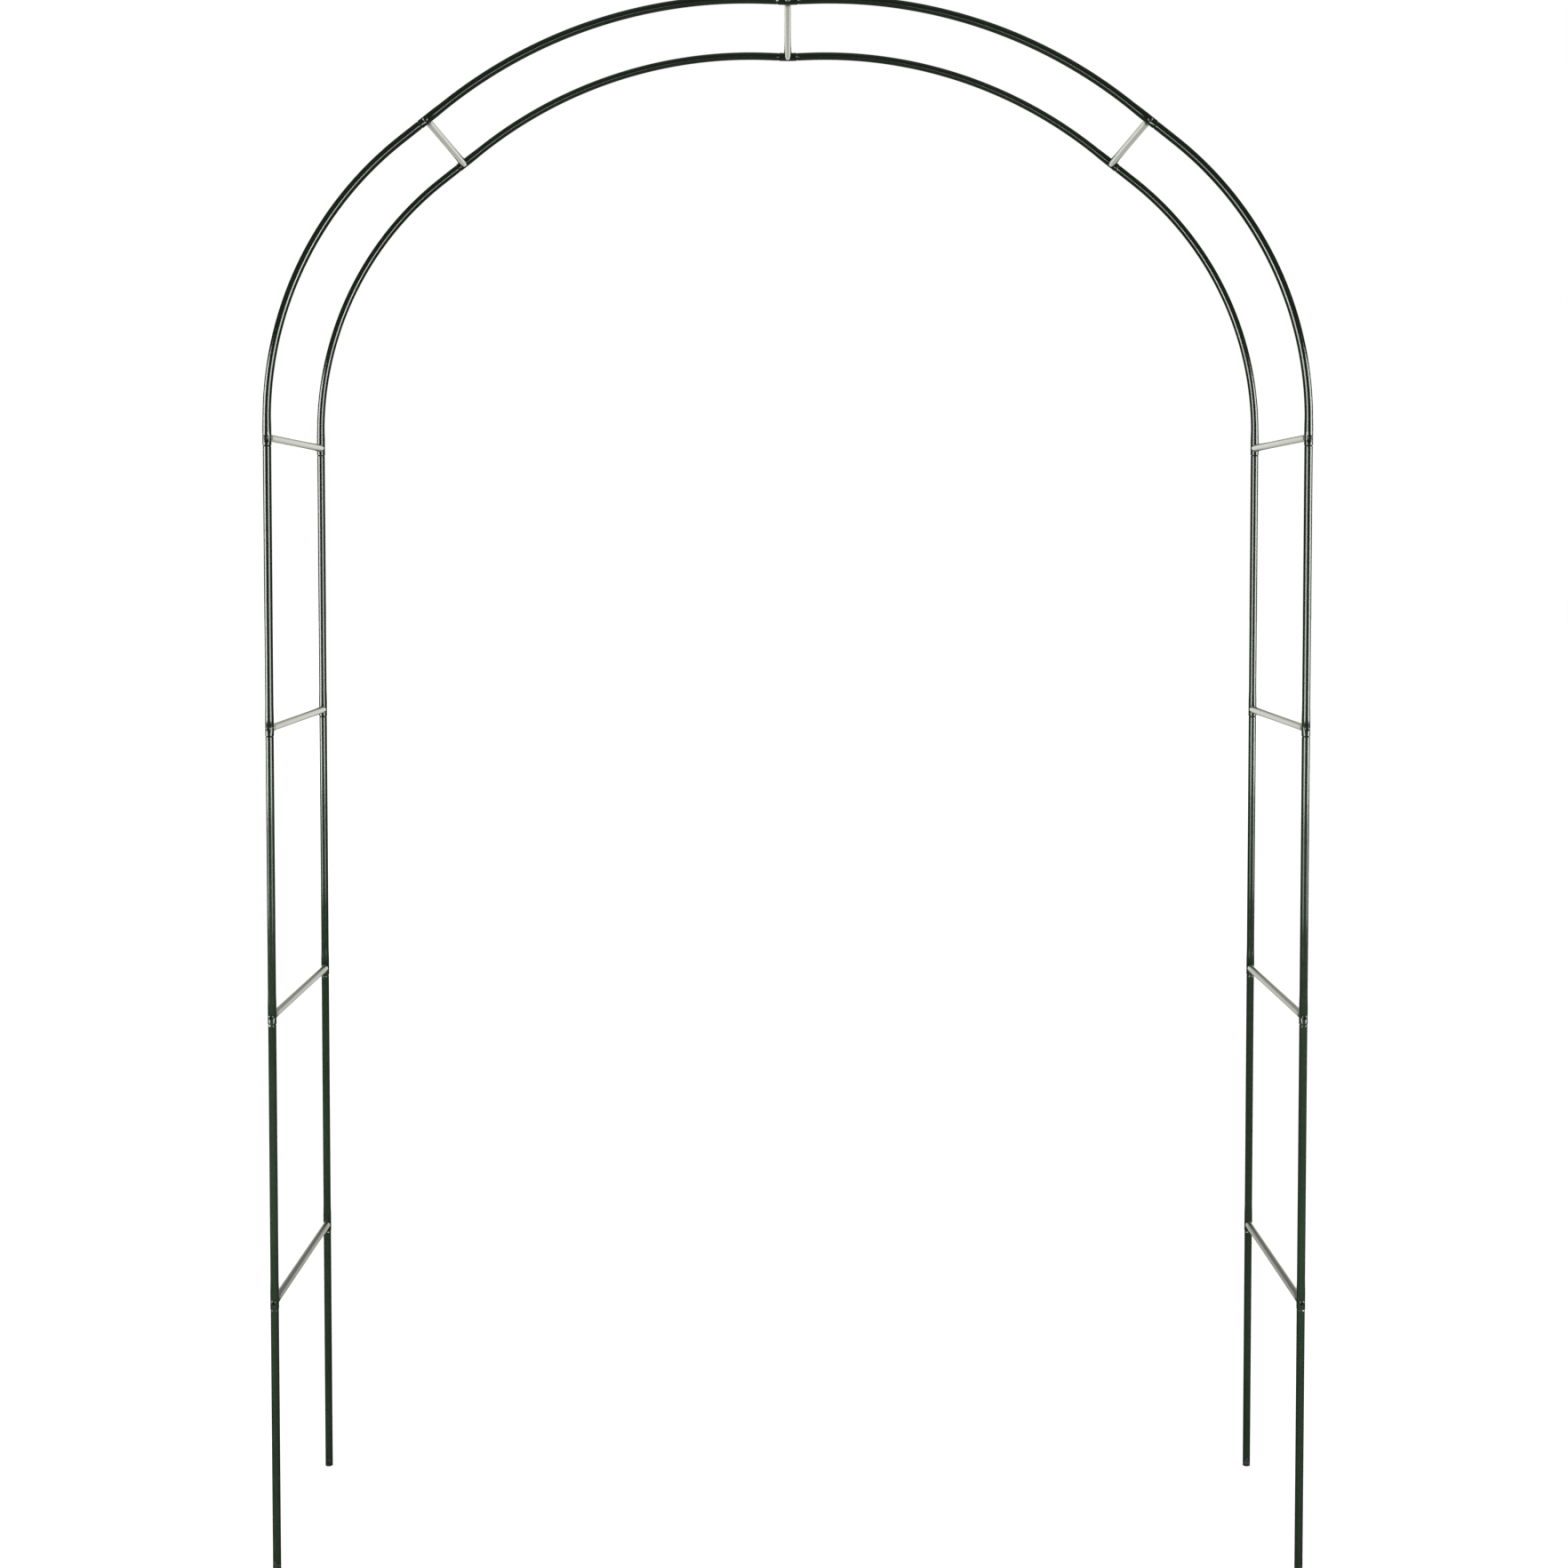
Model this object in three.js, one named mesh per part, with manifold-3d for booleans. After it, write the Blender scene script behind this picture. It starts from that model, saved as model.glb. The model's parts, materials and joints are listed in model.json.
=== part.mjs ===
// Garden trellis arch: two equal hoops of screwed steel tube, a front one and a back one,
// joined by eleven rungs. Millimetres, +Z up, +X across the way through, +Y from the front
// hoop to the back hoop, origin on the ground in the middle of the four feet.
//
// Each half of a hoop is a chain of tubes. A tube's lower end is a socket, and its upper end is
// a thinner spigot that stands in the socket of the next one. A screw goes through each joint
// from the hoop's outer face into the end of the rung behind it. At the top the two halves meet
// in a short coupler.

import * as THREE from "three";
import { mergeVertices } from "three/addons/utils/BufferGeometryUtils.js";
import Module from "manifold-3d";

const wasm = await Module();
wasm.setup();

// ---- Hoop ----
const LEG_SPACING = 1488; // between the leg centrelines of one hoop
const HOOP_SPACING = 366; // between the two hoops' middle planes
const FOOT_LENGTH = 385; // from the ground to the lowest joint
const SECTION_LENGTH = 416.5; // of a leg tube, from joint to joint
const SECTION_NAMES = ["leg_lower", "leg_middle", "leg_upper"];
const HAUNCH = { leadIn: 35, radius: 505, angle: THREE.MathUtils.degToRad(52), leadOut: 35 };
const CROWN_LEAD_IN = 48.5;
const CROWN_LEAD_OUT = 35;
const CROWN_ANGLE = THREE.MathUtils.degToRad(40); // two degrees past level, so the top dips
const BEND_STEPS = 13; // one of a crown tube's rings then stands at the highest point of its bend

// ---- Tube ----
const SIDES = 8;
const TUBE_RADIUS = 6;
const BORE_RADIUS = 5;
const SOCKET_RADIUS = 6.4;
const SOCKET_BORE_RADIUS = 5.5;
const SOCKET_LENGTH = 30; // how deep its bore is
const FLARE_START = 28; // where a socket's outside starts to narrow to the tube
const FLARE_END = 34;
const SPIGOT_RADIUS = 5.1;
const SPIGOT_BORE_RADIUS = 4.2;
const SPIGOT_LENGTH = 26;
const SPIGOT_ROOT = 6; // how far a spigot's solid starts below its shoulder
const SHOULDER_LENGTH = 1.2;
const JOINT_GAP = 1; // between a shoulder and the rim above it
const SPIGOT_TO_SCREW = 1.2; // between a crown tube's end and the screw in the coupler
const COUPLER_HALF_LENGTH = 14;
const COUPLER_BEND_RADIUS = 115;
const COUPLER_STEPS = 3;

// ---- Screw ----
const SCREW_ABOVE_RIM = 11;
const SCREW_HOLE_RADIUS = 2.5;
const SCREW_SIDES = 8;
const SHANK_RADIUS = 2;
const SHANK_LENGTH = 30;
const HEAD_RADIUS = 4;
const HEAD_HEIGHT = 2.6;
const HEAD_EDGE_HEIGHT = 1.2;
const HEAD_TOP_RADIUS = 2.4;

// ---- Rung ----
const RUNG_TIP_RADIUS = 3.8;
const RUNG_ROUNDING = 3.5; // length of the rounded end
const RUNG_SWAGE_LENGTH = 18; // of the thick end that holds the screw
const RUNG_BORE_TAPER = 2; // from the screw's hole out to the bore
const CLEARANCE = 0.3;

const CUT_OVERRUN = 2; // how far a cutting tool runs past what it cuts
const OVERLAP = 2; // how far two shapes of one tube run into each other
const UPRIGHT = 0; // the tilt of a tube that starts along +Z

// ---- Solids ----

function solidFrom(geometry) {
  geometry.deleteAttribute("normal");
  geometry.deleteAttribute("uv");
  const merged = mergeVertices(geometry);
  return new wasm.Manifold(
    new wasm.Mesh({
      numProp: 3,
      vertProperties: merged.attributes.position.array,
      triVerts: new Uint32Array(merged.index.array),
    }),
  );
}

function geometryFrom(solid) {
  const surface = solid.getMesh();
  const geometry = new THREE.BufferGeometry();
  geometry.setAttribute("position", new THREE.BufferAttribute(surface.vertProperties, 3));
  geometry.setIndex(new THREE.BufferAttribute(surface.triVerts, 1));
  geometry.computeVertexNormals();
  return geometry;
}

// A turned shape about the Y axis. The outline is a list of [radius, height], from bottom to top.
function turned(outline, sides) {
  const points = outline.map(([radius, height]) => new THREE.Vector2(radius, height));
  return new THREE.LatheGeometry(points, sides, Math.PI / 2);
}

// The same, standing on a tube's centreline: at a place on it, and along it.
function turnedOn(bend, distance, outline) {
  const place = pointAlong(bend, distance);
  const geometry = turned(outline, SIDES);
  geometry.rotateX(Math.PI / 2);
  geometry.rotateY(-place.tilt);
  geometry.translate(place.x, 0, place.z);
  return solidFrom(geometry);
}

// A section to sweep. Its first corner lies in the hoop's plane, as a turned shape's does.
function circle(radius) {
  const corner = (_, i) => {
    const angle = Math.PI / 2 + (2 * Math.PI * i) / SIDES;
    return new THREE.Vector2(radius * Math.cos(angle), radius * Math.sin(angle));
  };
  return new THREE.Shape(Array.from({ length: SIDES }, corner));
}

// ---- Centrelines ----

// A tube's centreline lies in the XZ plane. It starts at the origin along +Z, turns towards -X
// on one arc, and ends straight. The tilt is its angle from +Z.
function pointAlong(bend, distance) {
  const inArc = (distance - bend.leadIn) / bend.radius;
  const tilt = THREE.MathUtils.clamp(inArc, 0, bend.angle);
  const before = Math.min(distance, bend.leadIn);
  const after = Math.max(distance - bend.leadIn - bend.radius * bend.angle, 0);
  return {
    x: -bend.radius * (1 - Math.cos(tilt)) - after * Math.sin(tilt),
    z: before + bend.radius * Math.sin(tilt) + after * Math.cos(tilt),
    tilt,
  };
}

function lengthOf(bend) {
  return bend.leadIn + bend.radius * bend.angle + bend.leadOut;
}

function straight(length) {
  return { leadIn: length, radius: 1, angle: 0, leadOut: 0 };
}

class Centreline extends THREE.Curve {
  constructor(bend, from, to) {
    super();
    this.bend = bend;
    this.from = from;
    this.to = to;
  }

  getPoint(t, target = new THREE.Vector3()) {
    const place = pointAlong(this.bend, this.from + t * (this.to - this.from));
    return target.set(place.x, 0, place.z);
  }
}

function sweep(shape, bend, from, to, steps) {
  const extrudePath = new Centreline(bend, from, to);
  return solidFrom(new THREE.ExtrudeGeometry(shape, { steps, extrudePath, bevelEnabled: false }));
}

// ---- Hoop tubes ----

function socketOutside(bend) {
  return turnedOn(bend, 0, [
    [0, 0],
    [SOCKET_RADIUS, 0],
    [SOCKET_RADIUS, FLARE_START],
    [SPIGOT_RADIUS, FLARE_END],
    [0, FLARE_END],
  ]);
}

function plug(bend, distance, radius, from, to) {
  return turnedOn(bend, distance, [
    [0, from],
    [radius, from],
    [radius, to],
    [0, to],
  ]);
}

function screwHole(bend, distance) {
  const place = pointAlong(bend, distance);
  const tool = new THREE.CylinderGeometry(
    SCREW_HOLE_RADIUS,
    SCREW_HOLE_RADIUS,
    2 * (SOCKET_RADIUS + CUT_OVERRUN),
    SCREW_SIDES,
  );
  tool.translate(place.x, 0, place.z);
  return solidFrom(tool);
}

// One tube of a hoop. Its shoulder is at shoulderAt along the centreline, and its spigot stands
// spigotLength beyond it. Screw holes are given as distances along the centreline.
function hoopTube({ bend, steps, hasSocket, shoulderAt, spigotLength, screwsAt }) {
  const outsideFrom = hasSocket ? OVERLAP : 0;
  const boreFrom = hasSocket ? SOCKET_LENGTH - OVERLAP : -CUT_OVERRUN;
  const boreTo = shoulderAt - SPIGOT_ROOT + OVERLAP;
  let tube = sweep(circle(TUBE_RADIUS), bend, outsideFrom, shoulderAt - SHOULDER_LENGTH, steps);
  const spigot = turnedOn(bend, shoulderAt, [
    [0, -SPIGOT_ROOT],
    [(TUBE_RADIUS + SPIGOT_RADIUS) / 2, -SPIGOT_ROOT],
    [SPIGOT_RADIUS, 0],
    [SPIGOT_RADIUS, spigotLength],
    [0, spigotLength],
  ]);
  tube = tube.add(spigot);
  if (hasSocket) {
    tube = tube.add(socketOutside(bend));
    tube = tube.subtract(plug(bend, 0, SOCKET_BORE_RADIUS, -CUT_OVERRUN, SOCKET_LENGTH));
  }
  tube = tube.subtract(sweep(circle(BORE_RADIUS), bend, boreFrom, boreTo, steps));
  const spigotBoreTo = spigotLength + CUT_OVERRUN;
  tube = tube.subtract(plug(bend, shoulderAt, SPIGOT_BORE_RADIUS, -SPIGOT_ROOT, spigotBoreTo));
  for (const distance of screwsAt) {
    tube = tube.subtract(screwHole(bend, distance));
  }
  return geometryFrom(tube);
}

function footTube() {
  return hoopTube({
    bend: straight(FOOT_LENGTH),
    steps: 1,
    hasSocket: false,
    shoulderAt: FOOT_LENGTH - JOINT_GAP,
    spigotLength: SPIGOT_LENGTH,
    screwsAt: [FOOT_LENGTH + SCREW_ABOVE_RIM],
  });
}

function legTube() {
  return hoopTube({
    bend: straight(SECTION_LENGTH),
    steps: 1,
    hasSocket: true,
    shoulderAt: SECTION_LENGTH - JOINT_GAP,
    spigotLength: SPIGOT_LENGTH,
    screwsAt: [SCREW_ABOVE_RIM, SECTION_LENGTH + SCREW_ABOVE_RIM],
  });
}

function haunchTube() {
  return hoopTube({
    bend: HAUNCH,
    steps: BEND_STEPS,
    hasSocket: true,
    shoulderAt: lengthOf(HAUNCH) - JOINT_GAP,
    spigotLength: SPIGOT_LENGTH,
    screwsAt: [SCREW_ABOVE_RIM, lengthOf(HAUNCH) + SCREW_ABOVE_RIM],
  });
}

// The crown tubes' ends stop short of the screw in the middle of the coupler.
function crownTube(crown) {
  const shoulderToMiddle = COUPLER_HALF_LENGTH + JOINT_GAP;
  return hoopTube({
    bend: crown,
    steps: BEND_STEPS,
    hasSocket: true,
    shoulderAt: lengthOf(crown) - shoulderToMiddle,
    spigotLength: shoulderToMiddle - SHANK_RADIUS - SPIGOT_TO_SCREW,
    screwsAt: [SCREW_ABOVE_RIM],
  });
}

// A short sleeve, bent to the dip of the two crown tubes that it joins.
function coupler(dip) {
  const angle = 2 * dip;
  const leadIn = COUPLER_HALF_LENGTH - (COUPLER_BEND_RADIUS * angle) / 2;
  const bend = { leadIn, radius: COUPLER_BEND_RADIUS, angle, leadOut: leadIn };
  const ring = circle(SOCKET_RADIUS);
  ring.holes.push(circle(SOCKET_BORE_RADIUS));
  const sleeve = sweep(ring, bend, 0, lengthOf(bend), COUPLER_STEPS);
  return geometryFrom(sleeve.subtract(screwHole(bend, COUPLER_HALF_LENGTH)));
}

// ---- Rungs and screws ----

function rung(length) {
  const half = length / 2;
  const end = (sign) => [
    [SCREW_HOLE_RADIUS, sign * (half - RUNG_SWAGE_LENGTH)],
    [SCREW_HOLE_RADIUS, sign * half],
    [RUNG_TIP_RADIUS, sign * half],
    [TUBE_RADIUS, sign * (half - RUNG_ROUNDING)],
  ];
  const boreEnd = half - RUNG_SWAGE_LENGTH - RUNG_BORE_TAPER;
  const outline = [
    [BORE_RADIUS, -boreEnd],
    ...end(-1),
    ...end(1).reverse(),
    [BORE_RADIUS, boreEnd],
    [BORE_RADIUS, -boreEnd],
  ];
  return turned(outline, SIDES);
}

// The head's underside is at y = 0 and the shank points along +Y.
function screw() {
  return turned(
    [
      [0, -HEAD_HEIGHT],
      [HEAD_TOP_RADIUS, -HEAD_HEIGHT],
      [HEAD_RADIUS, -HEAD_EDGE_HEIGHT],
      [HEAD_RADIUS, 0],
      [SHANK_RADIUS, 0],
      [SHANK_RADIUS, SHANK_LENGTH],
      [0, SHANK_LENGTH],
    ],
    SCREW_SIDES,
  );
}

// ---- Materials ----

function greenCoating() {
  return new THREE.MeshStandardMaterial({ color: 0x283a2d, roughness: 0.3, metalness: 0 });
}

function darkSteel() {
  return new THREE.MeshStandardMaterial({ color: 0x2c2f2d, roughness: 0.4, metalness: 0.9 });
}

function addMesh(parent, name, geometry, material, position, tilt) {
  const mesh = new THREE.Mesh(geometry, material);
  mesh.name = name;
  mesh.position.set(...position);
  mesh.rotation.y = -tilt;
  parent.add(mesh);
  return mesh;
}

// ---- Assembly ----

const halfSpan = LEG_SPACING / 2;
const springHeight = FOOT_LENGTH + SECTION_NAMES.length * SECTION_LENGTH;
const haunchEnd = pointAlong(HAUNCH, lengthOf(HAUNCH));
const shoulder = { x: halfSpan + haunchEnd.x, z: springHeight + haunchEnd.z };
const crownTilt = HAUNCH.angle + CROWN_ANGLE;
const dip = crownTilt - Math.PI / 2;

// The crown's bend radius is what is left for its arc once its straight ends are taken off.
const crownLeads = CROWN_LEAD_IN * Math.sin(HAUNCH.angle) + CROWN_LEAD_OUT * Math.sin(crownTilt);
const crownRadius = (shoulder.x - crownLeads) / (Math.cos(HAUNCH.angle) - Math.cos(crownTilt));
const crownBend = {
  leadIn: CROWN_LEAD_IN,
  radius: crownRadius,
  angle: CROWN_ANGLE,
  leadOut: CROWN_LEAD_OUT,
};

// A place on the crown tube, in the hoop's own plane.
function onCrown(distance) {
  const local = pointAlong(crownBend, distance);
  const sin = Math.sin(HAUNCH.angle);
  const cos = Math.cos(HAUNCH.angle);
  return {
    x: shoulder.x + local.x * cos - local.z * sin,
    z: shoulder.z + local.x * sin + local.z * cos,
  };
}

const shoulderScrew = onCrown(SCREW_ABOVE_RIM);
const crownMiddle = onCrown(lengthOf(crownBend));

// Every joint that a screw and a rung share, as its name and its place in a hoop's plane.
function joints() {
  const places = [{ name: "crown", x: 0, z: crownMiddle.z }];
  for (const [side, sign] of [
    ["left", -1],
    ["right", 1],
  ]) {
    places.push({ name: side + "_shoulder", x: sign * shoulderScrew.x, z: shoulderScrew.z });
    for (let i = 0; i <= SECTION_NAMES.length; i += 1) {
      const z = FOOT_LENGTH + i * SECTION_LENGTH + SCREW_ABOVE_RIM;
      places.push({ name: side + "_" + (i + 1), x: sign * halfSpan, z });
    }
  }
  return places;
}

// The tubes of a hoop's right half. Turned half round about Z they are the left half.
function halfHoop(prefix) {
  const half = new THREE.Group();
  const add = (name, geometry, x, z, tilt) =>
    addMesh(half, prefix + name, geometry, greenCoating(), [x, 0, z], tilt);
  add("foot", footTube(), halfSpan, 0, UPRIGHT);
  SECTION_NAMES.forEach((name, i) => {
    add(name, legTube(), halfSpan, FOOT_LENGTH + i * SECTION_LENGTH, UPRIGHT);
  });
  add("haunch", haunchTube(), halfSpan, springHeight, UPRIGHT);
  add("crown", crownTube(crownBend), shoulder.x, shoulder.z, HAUNCH.angle);
  return half;
}

// The coupler starts on the right crown tube. Half a turn about its own axis makes it bend upwards.
function addCoupler(parent, name) {
  const start = onCrown(lengthOf(crownBend) - COUPLER_HALF_LENGTH);
  const position = [start.x, 0, start.z];
  const mesh = addMesh(parent, name, coupler(dip), greenCoating(), position, crownTilt);
  mesh.rotation.z = Math.PI;
}

function hoop(name, outward) {
  const group = new THREE.Group();
  group.position.y = (outward * HOOP_SPACING) / 2;
  const right = halfHoop(name + "_right_");
  const left = halfHoop(name + "_left_");
  left.rotation.z = Math.PI;
  group.add(right, left);
  addCoupler(group, name + "_coupler");
  const faceY = outward * (SOCKET_RADIUS + CLEARANCE);
  for (const joint of joints()) {
    const screwName = name + "_screw_" + joint.name;
    const position = [joint.x, faceY, joint.z];
    const mesh = addMesh(group, screwName, screw(), darkSteel(), position, UPRIGHT);
    mesh.rotation.z = outward > 0 ? Math.PI : 0;
  }
  return group;
}

const arch = new THREE.Group();
arch.add(hoop("front", -1), hoop("back", 1));
const rungLength = HOOP_SPACING - 2 * (SOCKET_RADIUS + CLEARANCE);
for (const joint of joints()) {
  const name = "rung_" + joint.name;
  addMesh(arch, name, rung(rungLength), greenCoating(), [joint.x, 0, joint.z], UPRIGHT);
}

export default arch;
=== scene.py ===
"""The garden trellis arch's looks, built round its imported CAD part. Metres, +Z up.

Every CAD solid is replaced by one finer piece of the same size in the same place: the hoops'
tubes with their rolled sockets, the couplers, the rungs and the pan-head screws.
"""

import json
import math
import random

import bmesh
import bpy
import numpy as np
from mathutils import Matrix, Vector

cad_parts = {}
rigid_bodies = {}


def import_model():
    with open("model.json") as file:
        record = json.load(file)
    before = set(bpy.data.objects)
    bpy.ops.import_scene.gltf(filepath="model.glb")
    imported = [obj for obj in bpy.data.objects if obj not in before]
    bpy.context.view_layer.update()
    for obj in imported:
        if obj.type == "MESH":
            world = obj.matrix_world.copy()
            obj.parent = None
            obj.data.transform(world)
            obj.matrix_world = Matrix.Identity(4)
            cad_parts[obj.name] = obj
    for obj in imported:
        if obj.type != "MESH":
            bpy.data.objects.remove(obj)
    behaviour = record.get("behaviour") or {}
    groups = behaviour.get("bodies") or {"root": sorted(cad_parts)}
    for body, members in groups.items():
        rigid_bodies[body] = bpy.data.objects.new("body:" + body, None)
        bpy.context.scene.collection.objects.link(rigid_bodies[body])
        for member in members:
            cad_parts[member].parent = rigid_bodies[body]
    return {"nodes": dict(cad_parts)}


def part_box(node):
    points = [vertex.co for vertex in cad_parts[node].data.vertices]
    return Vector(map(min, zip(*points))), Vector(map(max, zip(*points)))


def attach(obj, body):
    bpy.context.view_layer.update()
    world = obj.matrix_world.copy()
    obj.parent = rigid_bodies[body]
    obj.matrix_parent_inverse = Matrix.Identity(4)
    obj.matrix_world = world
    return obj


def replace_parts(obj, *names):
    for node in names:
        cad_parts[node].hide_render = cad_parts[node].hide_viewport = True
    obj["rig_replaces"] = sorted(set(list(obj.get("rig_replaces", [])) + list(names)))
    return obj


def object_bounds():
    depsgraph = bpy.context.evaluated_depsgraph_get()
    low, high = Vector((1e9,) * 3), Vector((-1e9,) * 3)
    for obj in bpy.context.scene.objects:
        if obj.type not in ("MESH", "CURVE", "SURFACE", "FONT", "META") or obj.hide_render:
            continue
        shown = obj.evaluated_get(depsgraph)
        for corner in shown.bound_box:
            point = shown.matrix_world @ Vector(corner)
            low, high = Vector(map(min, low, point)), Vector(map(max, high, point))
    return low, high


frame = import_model()
cad_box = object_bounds()

# ---- Tube sections ----

SIDES = 40
TUBE_RADIUS = 0.0060
BORE_RADIUS = 0.0050
SOCKET_RADIUS = 0.0064
SOCKET_BORE_RADIUS = 0.0055
SOCKET_LENGTH = 0.030  # how deep its bore is
FLARE_START = 0.022  # where a socket's outside starts to narrow to the tube
FLARE_END = 0.046
RIM_ROUNDING = 0.00035
CUT_ROUNDING = 0.00015  # of a foot's sawn end
NECK_BELOW = 0.0008  # the neck narrows from here below the shoulder
NECK_ABOVE = 0.0012  # to here above it
SPIGOT_RADIUS = 0.0051
SPIGOT_BORE_RADIUS = 0.0042
SPIGOT_LENGTH = 0.026
SPIGOT_ROOT = 0.006
SPIGOT_CHAMFER = 0.0002
CROWN_SPIGOT_LENGTH = 0.0118  # it stops short of the coupler's screw
JOINT_GAP = 0.001
SCREW_ABOVE_RIM = 0.011
SCREW_HOLE_RADIUS = 0.0025
HOLE_MARGIN = 0.013  # of fine stations on both sides of a screw
FINE_STEP = 0.001
STRAIGHT_STEP = 0.030
BEND_STEP = 0.007
RIM_STEPS = 4  # from a rim's flat end to its wall
NECK_STEPS = 10
RUNG_END_STEPS = 8

# Round each screw the tube is pressed in a little, more under the head than against the rung.
DIMPLE_LENGTH = 0.007
DIMPLE_WIDTH = 0.014
HEAD_DIMPLE = 0.0013
RUNG_DIMPLE = 0.0004

# ---- Bends of a hoop's right half ----

HAUNCH_LEADS = 0.035
HAUNCH_RADIUS = 0.505
HAUNCH_ANGLE = math.radians(52)
CROWN_LEAD_IN = 0.0485
CROWN_LEAD_OUT = 0.035
CROWN_ANGLE = math.radians(40)
COUPLER_LENGTH = 0.028
COUPLER_BEND_RADIUS = 0.115

# ---- Rungs and screws ----

RUNG_TIP_RADIUS = 0.0048
RUNG_ROUNDING = 0.0018
RUNG_SWAGE_LENGTH = 0.018
RUNG_BORE_TAPER = 0.002
HEAD_RADIUS = 0.0040
HEAD_HEIGHT = 0.0026
HEAD_EDGE_HEIGHT = 0.0009
HEAD_SEAT = 0.0013  # how far the underside reaches into the dimple
HEAD_STEPS = 10
SHANK_LENGTH = 0.030
THREAD_ROOT_RADIUS = 0.0015
THREAD_CREST_RADIUS = 0.0020
THREAD_PITCH = 0.0014
THREAD_STEPS = 5  # rings per turn
SHANK_SIDES = 20
POINT_LENGTH = 0.003
POINT_SHARE = 0.35  # of the shank's radius, at its very tip
RECESS_REACH = 0.0021
RECESS_HALF_WIDTH = 0.00055
RECESS_DEPTH = 0.0017
RECESS_TAPER = 0.55
RECESS_TOP = 1.2  # times the head's height, where the cutter starts
SCREW_TURN_SEED = 7

WEAR_SPREAD = 0.0006  # how far edge wear reaches from an edge
TUBE_SHARP_ANGLE = math.radians(50)
SCREW_SHARP_ANGLE = math.radians(35)
QUARTER_TURN = math.radians(90)

FRONT, BACK = "front", "back"
HEAD_SIDE = {FRONT: -1, BACK: 1}  # the Y direction in which a hoop's screw heads look
TURN = {"right": 1, "left": -1}  # the left half is the right one turned half round about Z


def middle(node):
    """The centre of a CAD node's box."""
    low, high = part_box(node)
    return (low + high) / 2


# ---- Centrelines ----


class Bend:
    """A centreline in a hoop's plane: straight, one arc, straight.

    Its tilt is the angle from +Z towards -X. A negative angle bends the other way.
    """

    def __init__(self, start, tilt, lead_in, radius, angle, lead_out):
        self.start = start
        self.tilt = tilt
        self.lead_in = lead_in
        self.radius = radius
        self.angle = angle
        self.length = lead_in + radius * abs(angle) + lead_out

    def at(self, s):
        """x, z and tilt at the distances s along it."""
        sign = math.copysign(1, self.angle)
        arc = self.radius * abs(self.angle)
        turned = np.clip((s - self.lead_in) / self.radius, 0, abs(self.angle))
        before = np.minimum(s, self.lead_in)
        after = np.maximum(s - self.lead_in - arc, 0)
        along = before + self.radius * np.sin(turned) + after * np.cos(turned)
        across = sign * (self.radius * (1 - np.cos(turned)) + after * np.sin(turned))
        x = self.start[0] - along * math.sin(self.tilt) - across * math.cos(self.tilt)
        z = self.start[1] + along * math.cos(self.tilt) - across * math.sin(self.tilt)
        return x, z, self.tilt + sign * turned

    def end(self):
        """x and z at its far end."""
        x, z, _ = self.at(np.array(self.length))
        return float(x), float(z)


def straight(start, length):
    """A vertical centreline."""
    return Bend(start, 0, length, 1, 0, 0)


def in_hoop(bend, hoop_y, turn):
    """Places a tube's points (s along it, b away from the arch's inside, c along Y) on a bend."""

    def place(s, b, c):
        x, z, tilt = bend.at(s)
        x = x + b * np.cos(tilt)
        z = z + b * np.sin(tilt)
        return np.stack([turn * x, hoop_y + turn * c, z], axis=-1)

    return place


def along_y(start):
    """Places a rung's points, which run along +Y from its start."""

    def place(s, b, c):
        return np.stack([start.x + c, start.y + s, start.z + b], axis=-1)

    return place


# ---- Lists of stations: distance along, outer radius, inner radius ----


def spread(first, last, step):
    """Evenly spaced distances from first to last, no further apart than step."""
    count = max(1, math.ceil((last - first) / step))
    return [first + (last - first) * i / count for i in range(count + 1)]


def rounded_end(outer, inner, rounding):
    """A rim at distance 0 with its two edges rounded."""
    rows = []
    for i in range(RIM_STEPS + 1):
        angle = QUARTER_TURN * i / RIM_STEPS
        back = rounding * (1 - math.sin(angle))
        rows.append((rounding * (1 - math.cos(angle)), outer - back, inner + back))
    return rows


def turned_round(rows, length):
    """The same end at the other end of a tube of that length."""
    return [(length - s, outer, inner) for s, outer, inner in reversed(rows)]


def fine_distances(first, last, screws):
    """Distances from first to last, close together at the screws."""
    found = set(spread(first, last, STRAIGHT_STEP))
    for screw in screws:
        low, high = max(first, screw - HOLE_MARGIN), min(last, screw + HOLE_MARGIN)
        found = {s for s in found if not low - FINE_STEP < s < high + FINE_STEP}
        found |= set(spread(low, high, FINE_STEP))
    found |= {first, last}
    return sorted(found)


def ease(t):
    """From 0 to 1 with a level start and end, and held there outside."""
    t = min(max(t, 0), 1)
    return t * t * (3 - 2 * t)


def socket_rows(screws):
    """The rim, the socket and the flare that narrows it to the tube."""
    rows = rounded_end(SOCKET_RADIUS, SOCKET_BORE_RADIUS, RIM_ROUNDING)
    for s in fine_distances(RIM_ROUNDING, FLARE_START, screws)[1:]:
        rows.append((s, SOCKET_RADIUS, SOCKET_BORE_RADIUS))
    for s in spread(FLARE_START, FLARE_END, FINE_STEP)[1:]:
        narrowed = ease((s - FLARE_START) / (FLARE_END - FLARE_START))
        outer = SOCKET_RADIUS + (TUBE_RADIUS - SOCKET_RADIUS) * narrowed
        inner = BORE_RADIUS if s > SOCKET_LENGTH + FINE_STEP / 2 else SOCKET_BORE_RADIUS
        rows.append((s, outer, inner))
    return rows


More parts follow.
